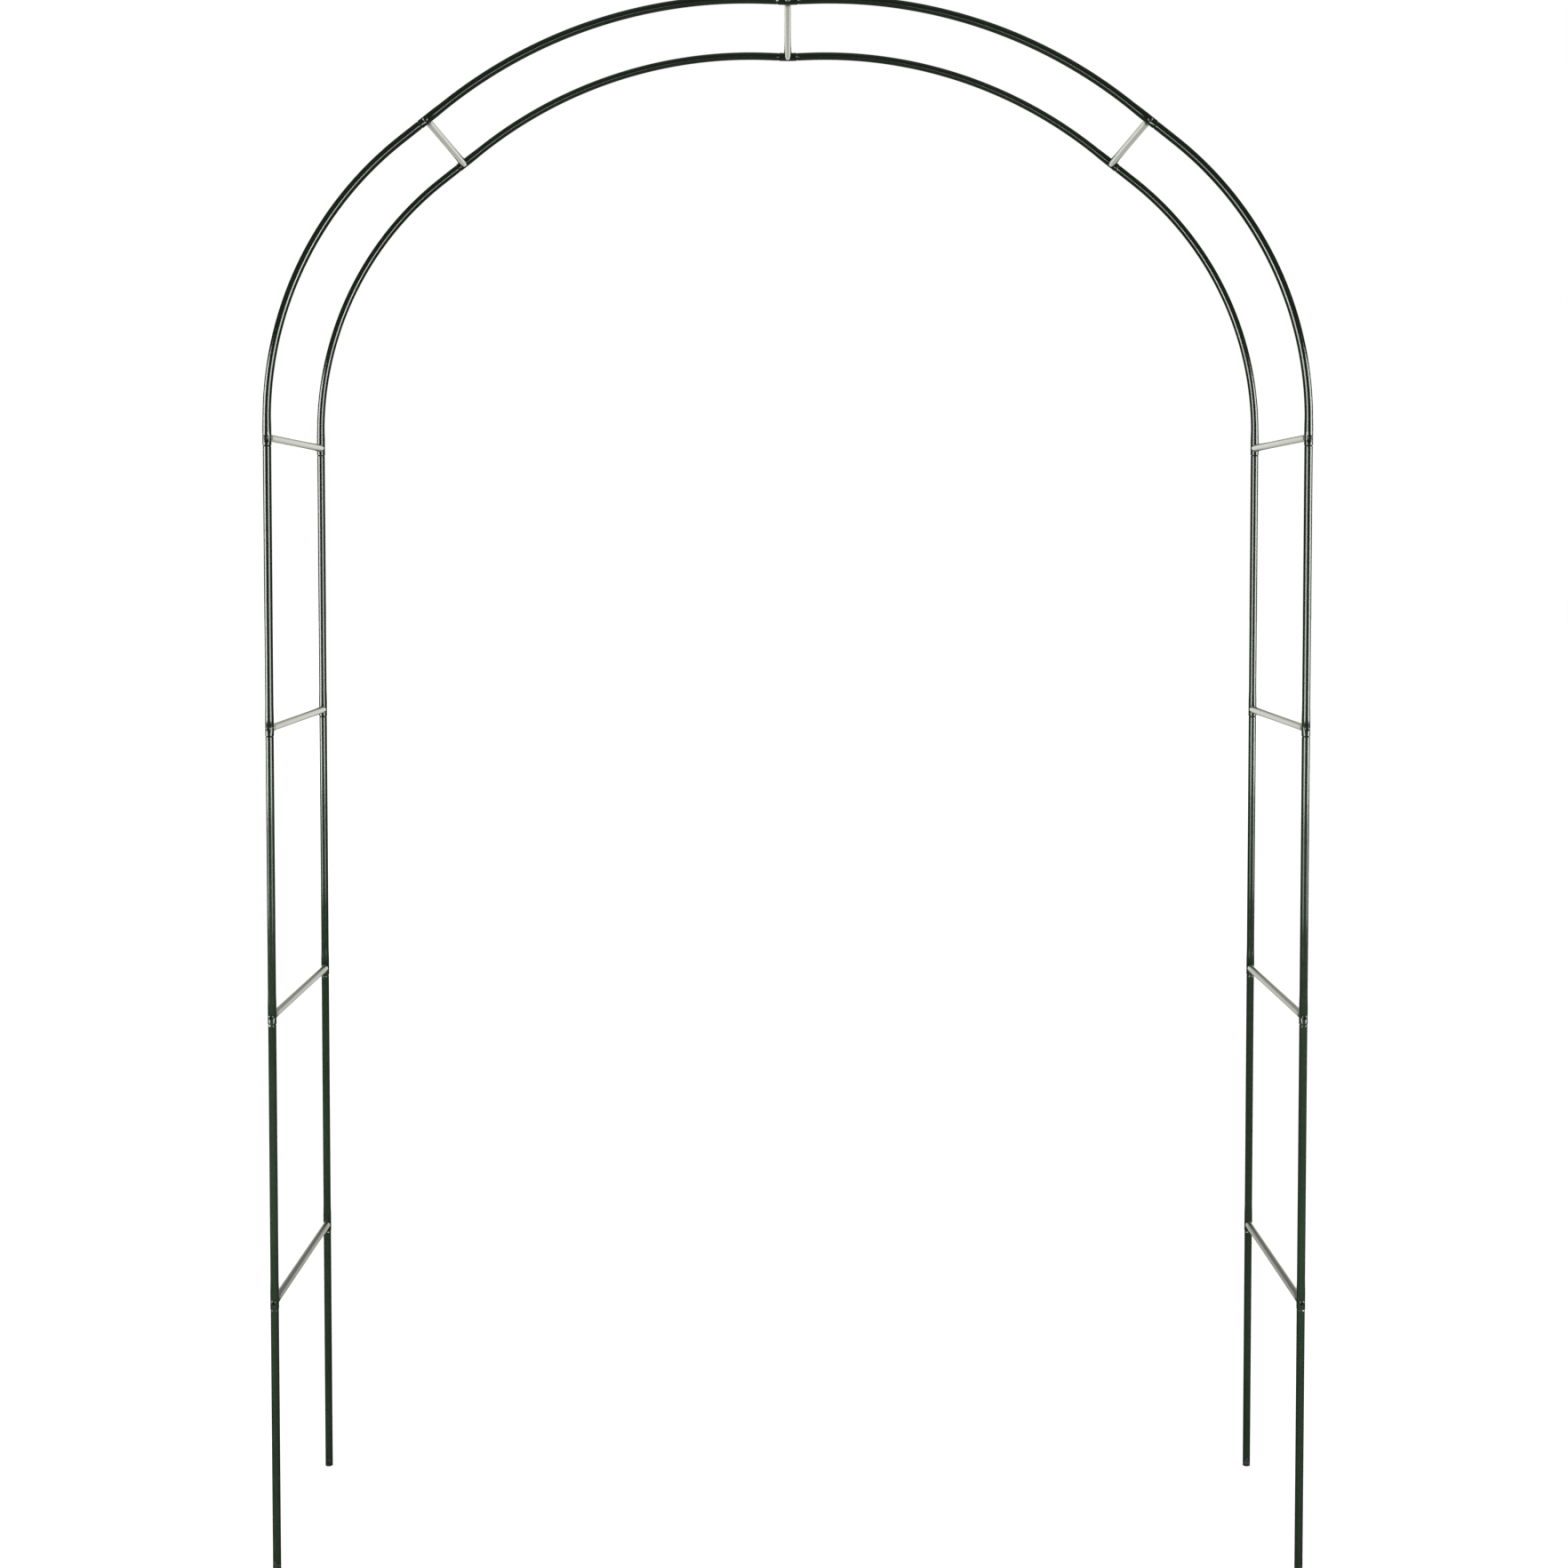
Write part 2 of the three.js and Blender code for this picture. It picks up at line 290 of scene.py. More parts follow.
def spigot_rows(shoulder, length, screws):
    """The root, the neck that narrows past the shoulder, and the spigot above it."""
    rows = [
        (shoulder - SPIGOT_ROOT, TUBE_RADIUS, BORE_RADIUS),
        (shoulder - SPIGOT_ROOT + FINE_STEP, TUBE_RADIUS, SPIGOT_BORE_RADIUS),
    ]
    for i in range(NECK_STEPS + 1):
        narrowed = ease(i / NECK_STEPS)
        s = shoulder - NECK_BELOW + (NECK_BELOW + NECK_ABOVE) * i / NECK_STEPS
        outer = TUBE_RADIUS + (SPIGOT_RADIUS - TUBE_RADIUS) * narrowed
        rows.append((s, outer, SPIGOT_BORE_RADIUS))
    tip = shoulder + length
    for s in fine_distances(rows[-1][0], tip - SPIGOT_CHAMFER, screws)[1:]:
        rows.append((s, SPIGOT_RADIUS, SPIGOT_BORE_RADIUS))
    rows.append((tip, SPIGOT_RADIUS - SPIGOT_CHAMFER, SPIGOT_BORE_RADIUS))
    return rows


def hoop_tube_rows(length, step, has_socket, shoulder, spigot_length, screws):
    """A socket or a sawn end, the plain tube, and a spigot. Length is that of the centreline, and is
    not used.
    """
    if has_socket:
        rows = socket_rows([s for s in screws if s < SOCKET_LENGTH])
    else:
        rows = rounded_end(TUBE_RADIUS, BORE_RADIUS, CUT_ROUNDING)
    first = rows[-1][0]
    last = shoulder - SPIGOT_ROOT
    rows += [(s, TUBE_RADIUS, BORE_RADIUS) for s in spread(first, last, step)[1:-1]]
    return rows + spigot_rows(shoulder, spigot_length, [s for s in screws if s > shoulder])


def coupler_rows():
    """A plain sleeve with two rounded rims."""
    rim = rounded_end(SOCKET_RADIUS, SOCKET_BORE_RADIUS, RIM_ROUNDING)
    first, last = RIM_ROUNDING, COUPLER_LENGTH - RIM_ROUNDING
    distances = fine_distances(first, last, [COUPLER_LENGTH / 2])[1:-1]
    wall = [(s, SOCKET_RADIUS, SOCKET_BORE_RADIUS) for s in distances]
    return rim + wall + turned_round(rim, COUPLER_LENGTH)


def rung_rows(length):
    """Rounded ends that close in on the screws, and a hollow middle."""
    end = []
    for i in range(RUNG_END_STEPS + 1):
        angle = QUARTER_TURN * i / RUNG_END_STEPS
        outer = RUNG_TIP_RADIUS + (TUBE_RADIUS - RUNG_TIP_RADIUS) * math.sin(angle)
        end.append((RUNG_ROUNDING * (1 - math.cos(angle)), outer, SCREW_HOLE_RADIUS))
    end.append((RUNG_SWAGE_LENGTH, TUBE_RADIUS, SCREW_HOLE_RADIUS))
    end.append((RUNG_SWAGE_LENGTH + RUNG_BORE_TAPER, TUBE_RADIUS, BORE_RADIUS))
    first, last = end[-1][0], length - end[-1][0]
    wall = [(s, TUBE_RADIUS, BORE_RADIUS) for s in spread(first, last, STRAIGHT_STEP)[1:-1]]
    return end + wall + turned_round(end, length)


# ---- Tube meshes ----


def tube_grids(rows):
    """The outer and inner surfaces as grids of s, b, c, one row for each station."""
    table = np.array(rows)
    angle = 2 * np.pi * np.arange(SIDES) / SIDES
    s = np.repeat(table[:, :1], SIDES, axis=1)
    walls = []
    for radius in (table[:, 1:2], table[:, 2:3]):
        walls.append(np.stack([s, radius * np.cos(angle), radius * np.sin(angle)], axis=-1))
    return walls


def cells_in_holes(outer, screws):
    """Which cells of the grid lie inside a screw hole."""
    centre = (outer[:-1] + outer[1:]) / 2
    centre = (centre + np.roll(centre, -1, axis=1)) / 2
    cut = np.zeros(centre.shape[:2], bool)
    for screw in screws:
        cut |= np.hypot(centre[..., 0] - screw, centre[..., 1]) < SCREW_HOLE_RADIUS
    return cut


def round_the_holes(wall, cut, screws):
    """Moves the corners at the edge of each hole onto its circle."""
    radius = np.hypot(wall[..., 1], wall[..., 2])
    touching = np.zeros((4, *wall.shape[:2]), bool)
    ahead = np.zeros(wall.shape[:2], bool)
    ahead[:-1] = cut
    behind = np.roll(ahead, 1, axis=0)
    touching[0], touching[1] = ahead, behind
    touching[2], touching[3] = np.roll(ahead, 1, axis=1), np.roll(behind, 1, axis=1)
    edge = touching.any(axis=0) & ~touching.all(axis=0)
    for screw in screws:
        a = wall[..., 0] - screw
        b = wall[..., 1]
        away = np.hypot(a, b)
        near = edge & (away < SCREW_HOLE_RADIUS * 2)
        scale = SCREW_HOLE_RADIUS / away[near]
        wall[near, 0] = screw + a[near] * scale
        wall[near, 1] = b[near] * scale
        side = np.sign(wall[near, 2])
        wall[near, 2] = side * np.sqrt(radius[near] ** 2 - wall[near, 1] ** 2)


def press_in(wall, screws, head_side):
    """The shallow dimples round each screw, one under its head and one against the rung."""
    radius = np.hypot(wall[..., 1], wall[..., 2])
    for screw in screws:
        away = np.hypot((wall[..., 0] - screw) / DIMPLE_LENGTH, wall[..., 1] / DIMPLE_WIDTH)
        share = np.exp(-(away**2)) * wall[..., 2] / radius
        depth = np.where(share * head_side > 0, HEAD_DIMPLE, RUNG_DIMPLE)
        wall[..., 2] -= depth * share


def tube_faces(count, cut):
    """Quads over both walls, round both ends and through the holes. cut says which cells are open."""
    size = count * SIDES
    outer = np.arange(size).reshape(count, SIDES)
    inner = outer + size
    beside = np.roll(outer, -1, axis=1)
    faces = []

    def add(*corners):
        faces.append(np.stack(corners, axis=-1).reshape(-1, 4))

    kept = ~cut
    for wall, order in ((0, (0, 1, 2, 3)), (size, (3, 2, 1, 0))):
        corners = (outer[:-1] + wall, beside[:-1] + wall, beside[1:] + wall, outer[1:] + wall)
        add(*(corners[i][kept] for i in order))
    add(inner[0], np.roll(inner[0], -1), beside[0], outer[0])
    add(outer[-1], beside[-1], np.roll(inner[-1], -1), inner[-1])
    # A hole's wall stands on each edge between an open cell and a closed one.
    below = cut[1:] & kept[:-1]
    low, high = outer[1:-1][below], beside[1:-1][below]
    add(low, high, high + size, low + size)
    above = kept[1:] & cut[:-1]
    low, high = outer[1:-1][above], beside[1:-1][above]
    add(high, low, low + size, high + size)
    left = cut & ~np.roll(cut, 1, axis=1)
    low, high = outer[:-1][left], outer[1:][left]
    add(high, low, low + size, high + size)
    right = cut & ~np.roll(cut, -1, axis=1)
    low, high = beside[:-1][right], beside[1:][right]
    add(low, high, high + size, low + size)
    return np.concatenate(faces)


def edge_wear(rows, outer):
    """How close each outer point is to a rim or a shoulder, from 0 to 1."""
    table = np.array(rows)
    steep = np.abs(np.diff(table[:, 1])) > np.diff(table[:, 0]) / 2
    edges = [table[i, 0] for i in np.flatnonzero(steep)]
    wear = np.zeros(outer.shape[:2])
    for s in edges:
        wear = np.maximum(wear, np.exp(-np.abs(outer[..., 0] - s) / WEAR_SPREAD))
    return wear


def mesh_from(name, points, faces, wear):
    """A smooth mesh that leaves out the points no face uses."""
    used = np.unique(faces)
    renumbered = np.zeros(len(points), int)
    renumbered[used] = np.arange(len(used))
    mesh = bpy.data.meshes.new(name)
    mesh.from_pydata(points[used].tolist(), [], renumbered[faces].tolist())
    attribute = mesh.attributes.new("wear", "FLOAT", "POINT")
    attribute.data.foreach_set("value", wear[used].astype(np.float32))
    mesh.shade_smooth()
    mesh.set_sharp_from_angle(angle=TUBE_SHARP_ANGLE)
    return mesh


def tube_mesh(name, rows, place, screws=(), head_side=0):
    """Both walls with their holes and dimples. head_side says where the heads are: +c, -c or none."""
    walls = tube_grids(rows)
    cut = cells_in_holes(walls[0], screws)
    wear = edge_wear(rows, walls[0]).ravel()
    for wall in walls:
        round_the_holes(wall, cut, screws)
        press_in(wall, screws, head_side)
    points = np.concatenate([place(*np.moveaxis(wall, -1, 0)).reshape(-1, 3) for wall in walls])
    faces = tube_faces(len(rows), cut)
    return mesh_from(name, points, faces, np.concatenate([wear, 0 * wear]))


# ---- Screws ----


def head_outline():
    """A pan head's radius and height, from the middle of the top to the shank."""
    outline = []
    crown = HEAD_HEIGHT - HEAD_EDGE_HEIGHT
    for i in range(1, HEAD_STEPS + 1):
        angle = QUARTER_TURN * i / HEAD_STEPS
        outline.append((HEAD_RADIUS * math.sin(angle), -HEAD_EDGE_HEIGHT - crown * math.cos(angle)))
    outline.append((HEAD_RADIUS, HEAD_SEAT / 2))
    outline.append((HEAD_RADIUS - HEAD_SEAT / 2, HEAD_SEAT))
    return outline


def thread_rings():
    """Stations down the shank: y, how deep the thread is and how thick the shank, both up to 1."""
    first = HEAD_SEAT
    last = SHANK_LENGTH
    rings = []
    for y in spread(first, last, THREAD_PITCH / THREAD_STEPS):
        cut = ease((y - first) / THREAD_PITCH)
        thickness = POINT_SHARE + (1 - POINT_SHARE) * ease((last - y) / POINT_LENGTH)
        rings.append((y, cut, thickness))
    return rings


def screw_mesh():
    """A plain pan head and a threaded shank. The CAD head's underside is at y = 0."""
    solid = bmesh.new()
    rings = []
    for radius, y in head_outline():
        rings.append([(radius, y)] * SHANK_SIDES * 2)
    for y, cut, thickness in thread_rings():
        ring = []
        for i in range(SHANK_SIDES * 2):
            phase = (y / THREAD_PITCH - i / (SHANK_SIDES * 2)) % 1
            height = 1 - abs(2 * phase - 1)
            crest = THREAD_ROOT_RADIUS + (THREAD_CREST_RADIUS - THREAD_ROOT_RADIUS) * height
            radius = THREAD_CREST_RADIUS + (crest - THREAD_CREST_RADIUS) * cut
            ring.append((radius * thickness, y))
        rings.append(ring)
    grid = []
    for ring in rings:
        row = []
        for i, (radius, y) in enumerate(ring):
            angle = 2 * math.pi * i / len(ring)
            row.append(solid.verts.new((radius * math.cos(angle), y, radius * math.sin(angle))))
        grid.append(row)
    for ring, after in zip(grid, grid[1:]):
        for i in range(len(ring)):
            j = (i + 1) % len(ring)
            solid.faces.new((ring[i], ring[j], after[j], after[i]))
    for ring, y in ((grid[0], -HEAD_HEIGHT), (grid[-1], SHANK_LENGTH)):
        tip = solid.verts.new((0, y, 0))
        for i in range(len(ring)):
            j = (i + 1) % len(ring)
            solid.faces.new((ring[j], ring[i], tip) if y < 0 else (ring[i], ring[j], tip))
    mesh = bpy.data.meshes.new("screw")
    bmesh.ops.recalc_face_normals(solid, faces=solid.faces)
    solid.to_mesh(mesh)
    solid.free()
    return mesh


def recess_mesh():
    """The cross that is cut into a screw's head: a tapered prism with twelve corners."""
    a, w = RECESS_REACH, RECESS_HALF_WIDTH
    quarter = [(a, -w), (a, w), (w, w)]
    corners = []
    for i in range(4):
        turn = Matrix.Rotation(QUARTER_TURN * i, 2)
        corners += [turn @ Vector(corner) for corner in quarter]
    cutter = bmesh.new()
    levels = ((-HEAD_HEIGHT * RECESS_TOP, 1), (-HEAD_HEIGHT + RECESS_DEPTH, RECESS_TAPER))
    rings = []
    for y, scale in levels:
        rings.append([cutter.verts.new((c.x * scale, y, c.y * scale)) for c in corners])
    for i in range(len(corners)):
        j = (i + 1) % len(corners)
        cutter.faces.new((rings[0][i], rings[0][j], rings[1][j], rings[1][i]))
    cutter.faces.new(rings[0])
    cutter.faces.new(rings[1])
    bmesh.ops.recalc_face_normals(cutter, faces=cutter.faces)
    mesh = bpy.data.meshes.new("recess")
    cutter.to_mesh(mesh)
    cutter.free()
    return mesh


def cut_screw():
    """The screw's mesh with its recess cut and the head's rim worn."""
    screw = bpy.data.objects.new("screw", screw_mesh())
    recess = bpy.data.objects.new("recess", recess_mesh())
    for helper in (screw, recess):
        bpy.context.scene.collection.objects.link(helper)
    cut = screw.modifiers.new("recess", "BOOLEAN")
    cut.operation = "DIFFERENCE"
    cut.solver = "EXACT"
    cut.object = recess
    graph = bpy.context.evaluated_depsgraph_get()
    mesh = bpy.data.meshes.new_from_object(screw.evaluated_get(graph))
    for helper in (screw, recess):
        bpy.data.objects.remove(helper)
    points = np.array([v.co for v in mesh.vertices])
    radius = np.hypot(points[:, 0], points[:, 2])
    wear = np.exp(-np.abs(radius - HEAD_RADIUS) / WEAR_SPREAD) * (points[:, 1] < 0)
    attribute = mesh.attributes.new("wear", "FLOAT", "POINT")
    attribute.data.foreach_set("value", wear.astype(np.float32))
    mesh.shade_smooth()
    mesh.set_sharp_from_angle(angle=SCREW_SHARP_ANGLE)
    return mesh


# ---- Materials ----


class Nodes:
    """A material's node tree, with short names for what this script builds."""

    def __init__(self, tree):
        self.tree = tree
        tree.nodes.clear()

    def add(self, kind, **settings):
        """A node with these settings."""
        node = self.tree.nodes.new(kind)
        for name, value in settings.items():
            setattr(node, name, value)
        return node

    def link(self, source, target):
        """A wire from one socket to another."""
        self.tree.links.new(source, target)

    def noise(self, vector, scale, detail, roughness=0.5):
        """Noise from 0 to 1 over the coordinates in vector."""
        node = self.add("ShaderNodeTexNoise")
        node.inputs["Scale"].default_value = scale
        node.inputs["Detail"].default_value = detail
        node.inputs["Roughness"].default_value = roughness
        self.link(vector, node.inputs["Vector"])
        return node.outputs["Fac"]

    def ranged(self, value, low, high, to_low, to_high):
        """Value from low..high to to_low..to_high, eased and clamped."""
        node = self.add("ShaderNodeMapRange", interpolation_type="SMOOTHSTEP")
        names = ("From Min", "From Max", "To Min", "To Max")
        for name, number in zip(names, (low, high, to_low, to_high)):
            node.inputs[name].default_value = number
        self.link(value, node.inputs["Value"])
        return node.outputs["Result"]

    def math(self, operation, *values):
        """An arithmetic node. Each value is a socket or a number."""
        node = self.add("ShaderNodeMath", operation=operation)
        for socket, value in zip(node.inputs, values):
            if isinstance(value, (int, float)):
                socket.default_value = value
            else:
                self.link(value, socket)
        return node.outputs["Value"]

    def mixed(self, factor, first, second):
        """One colour into another. Each is a socket or three numbers."""
        node = self.add("ShaderNodeMix", data_type="RGBA")
        self.link(factor, node.inputs["Factor"])
        for name, value in (("A", first), ("B", second)):
            socket = next(x for x in node.inputs if x.name == name and x.type == "RGBA")
            if isinstance(value, tuple):
                socket.default_value = (*value, 1)
            else:
                self.link(value, socket)
        return next(x for x in node.outputs if x.type == "RGBA")

    def bump(self, height, distance, strength, before=None):
        """A bump at most distance metres high, on top of the one before it."""
        node = self.add("ShaderNodeBump")
        node.inputs["Distance"].default_value = distance
        node.inputs["Strength"].default_value = strength
        self.link(height, node.inputs["Height"])
        if before is not None:
            self.link(before, node.inputs["Normal"])
        return node.outputs["Normal"]


# Colours.
COATING = (0.0178, 0.0310, 0.0172)
COATING_PALE = (0.0225, 0.0385, 0.0215)
COATING_DUST = (0.060, 0.064, 0.050)
BARE_STEEL = (0.20, 0.20, 0.185)
SCREW_DARK = (0.030, 0.034, 0.031)
SCREW_PALE = (0.095, 0.100, 0.092)

# Noise scales, in cells for a metre.
CLOUD_SCALE, MOTTLE_SCALE, SPECK_SCALE = 7, 130, 900
RIPPLE_SCALE, PEEL_SCALE = 55, 420
TARNISH_SCALE, GRAIN_SCALE = 500, 2600
MOTTLE_ROUGHNESS, TARNISH_ROUGHNESS = 0.6, 0.65  # of the noise itself

# The noise between these two values fades an effect in.
PATCHES = (0.36, 0.64)
DUST_SPECKS, DUSTY_CLOUDS = (0.60, 0.78), (0.45, 0.65)
CHIPPED_MOTTLE, CHIP_EDGE = (0.44, 0.66), (0.32, 0.55)
GLOSS_MOTTLE = (0.30, 0.70)
TARNISH, RUBBED_TARNISH, GRAIN = (0.35, 0.68), (0.40, 0.62), (0.30, 0.70)

CLOUD_SHARE = 0.6  # of the clouds in the coating's patches, against the mottle
DUST_AMOUNT = 0.35
COATING_ROUGHNESS = (0.06, 0.11)
DUST_ROUGHNESS, CHIP_ROUGHNESS = 0.5, 0.2  # added where there is dust or a chip
CHIP_METALLIC, SCREW_METALLIC = 0.8, 0.9
COATING_IOR = 1.5
PALE_AMOUNT = 0.6
SCREW_ROUGHNESS = (0.30, 0.46)

# Bumps: how high in metres, and how strong.
RIPPLE_BUMP = (0.0004, 0.06)
PEEL_BUMP = (0.00006, 0.18)
CHIP_BUMP = (0.00006, 0.6)
GRAIN_BUMP = (0.00003, 0.3)


def new_material(name):
    """A material, its nodes, its shader, the object's coordinates and the wear at each point."""
    material = bpy.data.materials.new(name)
    material.use_nodes = True
    nodes = Nodes(material.node_tree)
    shader = nodes.add("ShaderNodeBsdfPrincipled")
    output = nodes.add("ShaderNodeOutputMaterial")
    nodes.link(shader.outputs["BSDF"], output.inputs["Surface"])
    place = nodes.add("ShaderNodeTexCoord").outputs["Object"]
    worn = nodes.add("ShaderNodeAttribute", attribute_name="wear").outputs["Fac"]
    return material, nodes, shader, place, worn


def green_coating():
    """Glossy dark green paint, baked onto steel tube."""
    material, nodes, shader, place, worn = new_material("green_coating")
    clouds = nodes.noise(place, CLOUD_SCALE, detail=4)
    mottle = nodes.noise(place, MOTTLE_SCALE, detail=3, roughness=MOTTLE_ROUGHNESS)
    specks = nodes.noise(place, SPECK_SCALE, detail=2)

    cloud_part = nodes.math("MULTIPLY", clouds, CLOUD_SHARE)
    mottle_part = nodes.math("MULTIPLY", mottle, 1 - CLOUD_SHARE)
    patch = nodes.ranged(nodes.math("ADD", cloud_part, mottle_part), *PATCHES, 0, 1)
    colour = nodes.mixed(patch, COATING, COATING_PALE)
    speck = nodes.ranged(specks, *DUST_SPECKS, 0, DUST_AMOUNT)
    dust = nodes.math("MULTIPLY", speck, nodes.ranged(clouds, *DUSTY_CLOUDS, 0, 1))
    colour = nodes.mixed(dust, colour, COATING_DUST)
    chipped = nodes.math("MULTIPLY", worn, nodes.ranged(mottle, *CHIPPED_MOTTLE, 0, 1))
    chip = nodes.ranged(chipped, *CHIP_EDGE, 0, 1)
    nodes.link(nodes.mixed(chip, colour, BARE_STEEL), shader.inputs["Base Color"])
    nodes.link(nodes.math("MULTIPLY", chip, CHIP_METALLIC), shader.inputs["Metallic"])

    rough = nodes.ranged(mottle, *GLOSS_MOTTLE, *COATING_ROUGHNESS)
    rough = nodes.math("ADD", rough, nodes.math("MULTIPLY", chip, CHIP_ROUGHNESS))
    rough = nodes.math("ADD", rough, nodes.math("MULTIPLY", dust, DUST_ROUGHNESS))
    nodes.link(rough, shader.inputs["Roughness"])

    normal = nodes.bump(nodes.noise(place, RIPPLE_SCALE, detail=1), *RIPPLE_BUMP)
    normal = nodes.bump(nodes.noise(place, PEEL_SCALE, detail=2), *PEEL_BUMP, normal)
    normal = nodes.bump(nodes.math("SUBTRACT", 1, chip), *CHIP_BUMP, normal)
    nodes.link(normal, shader.inputs["Normal"])
    shader.inputs["IOR"].default_value = COATING_IOR
    return material


def screw_steel():
    """Darkened zinc-plated steel, a little brighter where a driver has rubbed it."""
    material, nodes, shader, place, worn = new_material("screw_steel")
    tarnish = nodes.noise(place, TARNISH_SCALE, detail=4, roughness=TARNISH_ROUGHNESS)
    grain = nodes.noise(place, GRAIN_SCALE, detail=2)
    colour = nodes.mixed(nodes.ranged(tarnish, *TARNISH, 0, PALE_AMOUNT), SCREW_DARK, SCREW_PALE)
    rub = nodes.math("MULTIPLY", worn, nodes.ranged(tarnish, *RUBBED_TARNISH, 0, 1))
    nodes.link(nodes.mixed(rub, colour, BARE_STEEL), shader.inputs["Base Color"])
    nodes.link(nodes.ranged(grain, *GRAIN, *SCREW_ROUGHNESS), shader.inputs["Roughness"])
    nodes.link(nodes.bump(grain, *GRAIN_BUMP), shader.inputs["Normal"])
    shader.inputs["Metallic"].default_value = SCREW_METALLIC
    return material


# ---- The arch ----

coating = green_coating()
steel = screw_steel()


def add_piece(node, mesh, material):
    """A piece that stands for one CAD node."""
    piece = bpy.data.objects.new(node + "_visual", mesh)
    if not mesh.materials:
        mesh.materials.append(material)
    bpy.context.scene.collection.objects.link(piece)
    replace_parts(piece, node)
    return piece


def add_tube(node, rows, place, screws=(), head_side=0):
    """A coated tube in place of its CAD node."""
    mesh = tube_mesh(node, rows, place, screws, head_side)
    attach(add_piece(node, mesh, coating), "root")


def half_hoop(hoop, side):
    """The six tubes from a foot to the crown."""
    turn = TURN[side]
    prefix = f"{hoop}_{side}_"
    hoop_y = middle(prefix + "foot").y
    leg_x = middle(prefix + "foot").x * turn
    head_side = HEAD_SIDE[hoop] * turn

    def add(name, bend, step, has_socket, end_gap, spigot_length, ends_in_screw):
        shoulder = bend.length - end_gap
        screws = [SCREW_ABOVE_RIM] if has_socket else []
        if ends_in_screw:
            screws.append(bend.length + SCREW_ABOVE_RIM)
        rows = hoop_tube_rows(bend.length, step, has_socket, shoulder, spigot_length, screws)
        add_tube(prefix + name, rows, in_hoop(bend, hoop_y, turn), screws, head_side)

    for name in ("foot", "leg_lower", "leg_middle", "leg_upper"):
        low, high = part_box(prefix + name)
        bend = straight((leg_x, low.z), high.z - low.z - SPIGOT_LENGTH + JOINT_GAP)
        add(name, bend, STRAIGHT_STEP, name != "foot", JOINT_GAP, SPIGOT_LENGTH, True)
    spring = (leg_x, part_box(prefix + "haunch")[0].z)
    haunch = Bend(spring, 0, HAUNCH_LEADS, HAUNCH_RADIUS, HAUNCH_ANGLE, HAUNCH_LEADS)
    add("haunch", haunch, BEND_STEP, True, JOINT_GAP, SPIGOT_LENGTH, True)
    crown = crown_bend(haunch.end())
    add("crown", crown, BEND_STEP, True, COUPLER_LENGTH / 2 + JOINT_GAP, CROWN_SPIGOT_LENGTH, False)
    return crown


def crown_bend(shoulder):
    """From the shoulder to the middle of the arch. Its bend radius follows from that."""
    end_tilt = HAUNCH_ANGLE + CROWN_ANGLE
    leads = CROWN_LEAD_IN * math.sin(HAUNCH_ANGLE) + CROWN_LEAD_OUT * math.sin(end_tilt)
    radius = (shoulder[0] - leads) / (math.cos(HAUNCH_ANGLE) - math.cos(end_tilt))
    return Bend(shoulder, HAUNCH_ANGLE, CROWN_LEAD_IN, radius, CROWN_ANGLE, CROWN_LEAD_OUT)


def add_coupler(hoop, crown):
    """A short sleeve round the ends of both crown tubes, bent upwards to their dip."""
    x, z, tilt = crown.at(np.array(crown.length - COUPLER_LENGTH / 2))
    angle = 2 * (QUARTER_TURN - float(tilt))
    lead = (COUPLER_LENGTH - COUPLER_BEND_RADIUS * abs(angle)) / 2
    bend = Bend((float(x), float(z)), float(tilt), lead, COUPLER_BEND_RADIUS, angle, lead)
    node = hoop + "_coupler"
    place = in_hoop(bend, middle(node).y, 1)
    add_tube(node, coupler_rows(), place, [COUPLER_LENGTH / 2], HEAD_SIDE[hoop])


def add_rungs():
    """Every rung, as long as its CAD node."""
    for node in sorted(n for n in frame["nodes"] if n.startswith("rung_")):
        low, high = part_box(node)
        centre = middle(node)
        start = Vector((centre.x, low.y, centre.z))
        add_tube(node, rung_rows(high.y - low.y), along_y(start))


def add_screws():
    """Every screw shares one mesh. Each is turned about its own axis as it happened to stop."""
    mesh = cut_screw()
    chance = random.Random(SCREW_TURN_SEED)
    for node in sorted(n for n in frame["nodes"] if "_screw_" in n):
        low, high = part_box(node)
        centre = middle(node)
        is_front = node.startswith(FRONT)
        piece = add_piece(node, mesh, steel)
        face_y = low.y + HEAD_HEIGHT if is_front else high.y - HEAD_HEIGHT
        piece.location = (centre.x, face_y, centre.z)
        piece.rotation_euler = (0, chance.uniform(0, math.pi / 2), 0 if is_front else math.pi)
        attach(piece, "root")


for hoop in (FRONT, BACK):
    half_hoop(hoop, "left")
    right_crown = half_hoop(hoop, "right")
    add_coupler(hoop, right_crown)
add_rungs()
add_screws()

# ---- Floor ----

FLOOR_RADIUS = 40.0
FLOOR_COLOUR = (0.86, 0.86, 0.85)
FLOOR_ROUGHNESS = 0.9
FLOOR_GLOW = 0.85  # keeps the pale floor as bright as the white backdrop
FLOOR_SIDES = 96


def add_floor():
    """A plain pale disc under the feet. The tubes mirror the studio without it."""
    bpy.ops.mesh.primitive_circle_add(vertices=FLOOR_SIDES, radius=FLOOR_RADIUS, fill_type="NGON")
    floor = bpy.context.object
    floor.name = "studio_floor"
    floor.location.z = cad_box[0].z
    material = bpy.data.materials.new("studio_floor")
    material.use_nodes = True
    shader = material.node_tree.nodes["Principled BSDF"]
    shader.inputs["Base Color"].default_value = (*FLOOR_COLOUR, 1)
    shader.inputs["Roughness"].default_value = FLOOR_ROUGHNESS
    shader.inputs["Emission Color"].default_value = (1, 1, 1, 1)
    shader.inputs["Emission Strength"].default_value = FLOOR_GLOW
    floor.data.materials.append(material)
    floor.visible_glossy = False
    floor.visible_diffuse = False


# ---- Light ----

